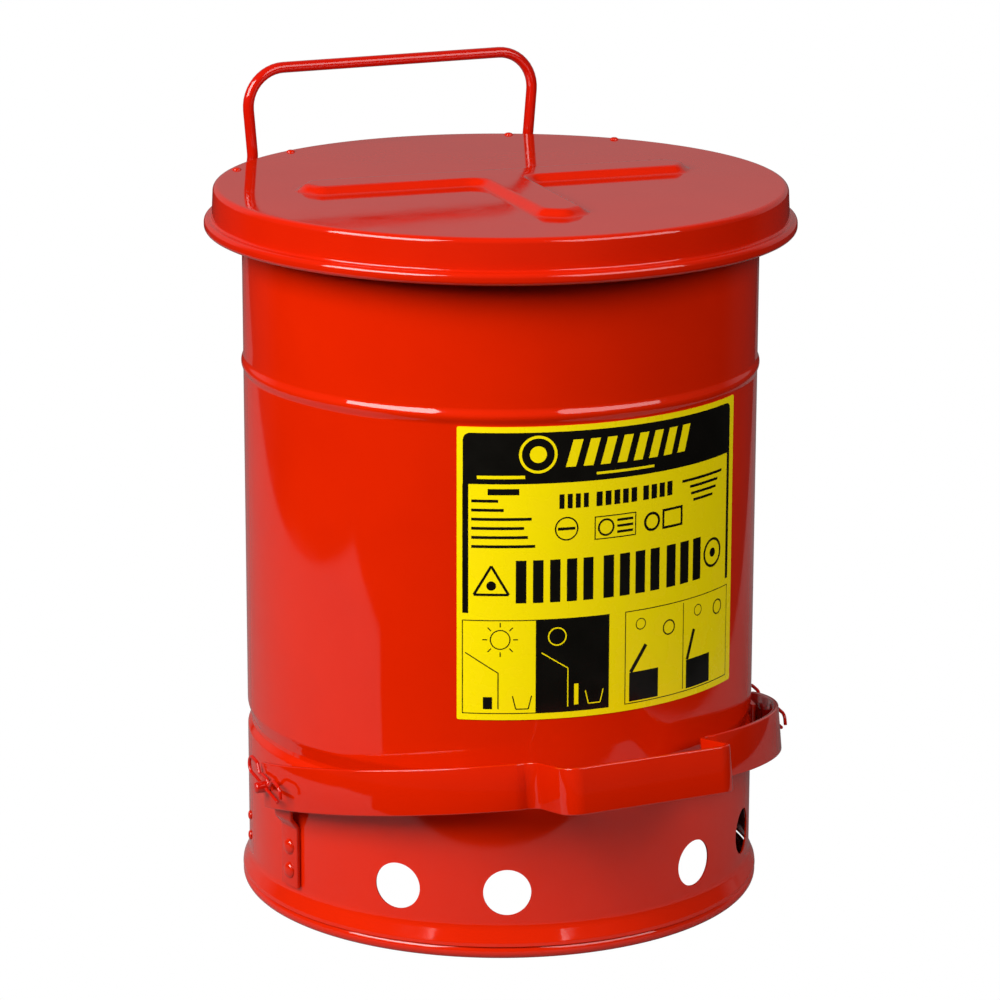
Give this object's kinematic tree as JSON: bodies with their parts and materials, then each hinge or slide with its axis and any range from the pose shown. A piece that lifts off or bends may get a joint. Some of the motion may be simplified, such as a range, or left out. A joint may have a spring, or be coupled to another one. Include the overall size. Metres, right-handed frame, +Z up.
{
  "type": "oily-waste can",
  "caption": "Round steel waste can with a self-closing lid, a foot lever round the front, a raised bottom over a vented skirt and a bent-rod carrying handle.",
  "frame": {"origin": "at floor level under the middle of the whole outline, 6.7 mm in front of the can's own axis", "axes": "+Z up, -Y towards the front (foot lever side), +X towards the can's left as it faces you"},
  "size_m": [0.332, 0.3794, 0.4566],
  "materials": {
    "red_enamel": "glossy red baked enamel on sheet steel and rod",
    "label_face": "printed vinyl label, yellow with black bars"
  },
  "bodies": {
    "can": {"body_shell": "red_enamel", "foot_ring": "red_enamel", "rim_ring": "red_enamel", "bottom_pan": "red_enamel", "side_seam": "red_enamel", "seam_rivet_1": "red_enamel", "seam_rivet_2": "red_enamel", "label": "label_face", "pivot_bracket_left": "red_enamel", "pivot_bracket_right": "red_enamel", "bracket_rivet_left_1": "red_enamel", "bracket_rivet_left_2": "red_enamel", "bracket_rivet_right_1": "red_enamel", "bracket_rivet_right_2": "red_enamel", "hinge_bracket": "red_enamel", "hinge_rivet_1": "red_enamel", "hinge_rivet_2": "red_enamel", "rod_guide_1": "red_enamel", "rod_guide_2": "red_enamel", "guide_rivet_1_left": "red_enamel", "guide_rivet_1_right": "red_enamel", "guide_rivet_2_left": "red_enamel", "guide_rivet_2_right": "red_enamel"},
    "lid": {"lid_pan": "red_enamel", "lid_strap": "red_enamel", "lid_rivet_1": "red_enamel", "lid_rivet_2": "red_enamel", "lid_rivet_3": "red_enamel", "lid_rivet_4": "red_enamel", "hinge_leaf": "red_enamel", "leaf_rivet_left": "red_enamel", "leaf_rivet_right": "red_enamel"},
    "handle": {"carry_handle": "red_enamel"},
    "pedal": {"foot_lever": "red_enamel", "yoke_rod": "red_enamel", "washer_left": "red_enamel", "washer_right": "red_enamel", "clip_pin_left": "red_enamel", "clip_pin_right": "red_enamel"},
    "lift": {"lift_rod": "red_enamel", "lift_foot": "red_enamel"}
  },
  "joints": [
    {"name": "lid_hinge", "type": "hinge", "parent": "can", "child": "lid", "pos_m": [0, 0.18271, 0.3758], "axis": [-1, 0, 0], "range_deg": [0, 60]},
    {"name": "handle_swing", "type": "hinge", "parent": "can", "child": "handle", "pos_m": [0, 0.18271, 0.3758], "axis": [-1, 0, 0], "range_deg": [0, 60]},
    {"name": "pedal_press", "type": "hinge", "parent": "can", "child": "pedal", "pos_m": [0, -0.02329, 0.082], "axis": [1, 0, 0], "range_deg": [0, 6.2]},
    {"name": "lift_slide", "type": "slide", "parent": "can", "child": "lift", "axis": [0, 0, 1], "range_m": [0, 0.02]}
  ],
  "couplings": [
    {"joint": "handle_swing", "follows": "lid_hinge", "ratio": 1},
    {"joint": "pedal_press", "follows": "lid_hinge", "ratio": 0.1033},
    {"joint": "lift_slide", "follows": "lid_hinge", "m_per_rad": 0.0189}
  ]
}
